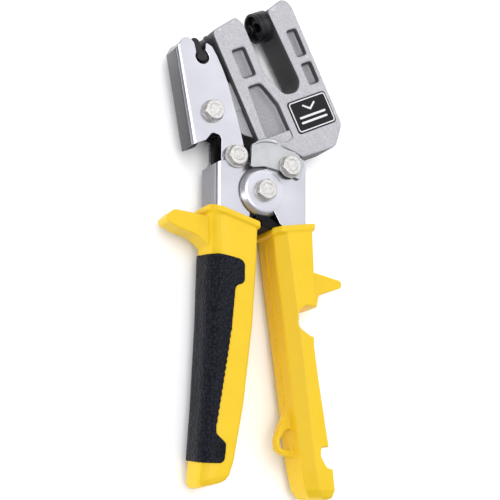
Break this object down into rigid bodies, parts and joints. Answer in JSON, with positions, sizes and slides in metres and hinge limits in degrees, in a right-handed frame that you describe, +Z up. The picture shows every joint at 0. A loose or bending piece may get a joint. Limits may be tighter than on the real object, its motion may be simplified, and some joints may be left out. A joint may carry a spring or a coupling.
{
  "type": "stud crimper",
  "caption": "Punch-lock pliers for light steel framing: slotted cast head with punch and die, pressed rocker and linkage, plastic grips with soft inlay and finger guards.",
  "frame": {"origin": "centre of the bounding box, on the surface the tool lies on, handles closed", "axes": "+Y from the grips towards the head, +X across the handles towards the die side, +Z up out of the front face"},
  "size_m": [0.0998, 0.262, 0.0322],
  "materials": {
    "casting": "sand-blasted cast aluminium, light grey",
    "chrome_steel": "bright zinc plated pressed steel",
    "zinc_bolt": "zinc plated fasteners",
    "black_steel": "blackened hardened steel",
    "plate_black": "gloss black enamel plate",
    "plate_rim": "raised white rim",
    "bronze": "bronze bush",
    "yellow_plastic": "yellow moulded plastic",
    "black_rubber": "pebbled black soft inlay",
    "spring_steel": "oiled spring wire"
  },
  "bodies": {
    "right_handle": {"right_channel": "chrome_steel", "hub_boss": "chrome_steel", "main_bolt": "zinc_bolt", "main_nut": "zinc_bolt", "head_pivot_bolt": "zinc_bolt", "head_pivot_nut": "zinc_bolt", "head_spacer": "zinc_bolt", "right_grip": "yellow_plastic", "stop_block": "black_rubber"},
    "left_handle": {"left_channel": "chrome_steel", "left_grip": "yellow_plastic", "left_grip_inlay": "black_rubber", "link_bolt": "zinc_bolt", "link_nut": "zinc_bolt", "link_washer": "zinc_bolt", "link_spacer": "zinc_bolt", "main_sleeve": "bronze", "return_spring": "spring_steel"},
    "head": {"head_casting": "casting", "nameplate": "plate_black", "nameplate_border": "plate_rim", "die_holder": "black_steel", "die_insert": "black_steel", "die_screw": "black_steel", "punch_guide": "bronze", "head_pivot_bush": "bronze"},
    "rocker": {"rocker_channel": "chrome_steel", "rocker_bar": "black_rubber", "rocker_bolt": "zinc_bolt", "rocker_nut": "zinc_bolt", "rocker_washer_front": "zinc_bolt", "rocker_washer_back": "zinc_bolt"},
    "punch_slide": {"punch": "black_steel", "punch_tail": "black_steel"},
    "latch": {"latch_plate": "chrome_steel"}
  },
  "joints": [
    {"name": "handle_fold", "type": "hinge", "parent": "right_handle", "child": "left_handle", "pos_m": [0.00148, 0.0226, 0.014], "axis": [0, 0, -1], "range_deg": [0, 16]},
    {"name": "head_swing", "type": "hinge", "parent": "right_handle", "child": "head", "pos_m": [0.01468, 0.0365, 0.014], "axis": [0, 0, 1], "range_deg": [0, 0.9]},
    {"name": "rocker_swing", "type": "hinge", "parent": "head", "child": "rocker", "pos_m": [-0.02582, 0.0623, 0.014], "axis": [0, 0, 1], "range_deg": [0, 14.6]},
    {"name": "punch_travel", "type": "slide", "parent": "head", "child": "punch_slide", "axis": [-0.8988, -0.4384, 0], "range_m": [0, 0.0073]},
    {"name": "latch_swing", "type": "hinge", "parent": "right_handle", "child": "latch", "pos_m": [0.01468, 0.0365, 0.014], "axis": [0, 0, -1], "range_deg": [0, 50]}
  ],
  "couplings": [
    {"joint": "head_swing", "follows": "handle_fold", "ratio": 0.055},
    {"joint": "rocker_swing", "follows": "handle_fold", "ratio": 0.908},
    {"joint": "punch_travel", "follows": "handle_fold", "m_per_rad": 0.02606}
  ]
}
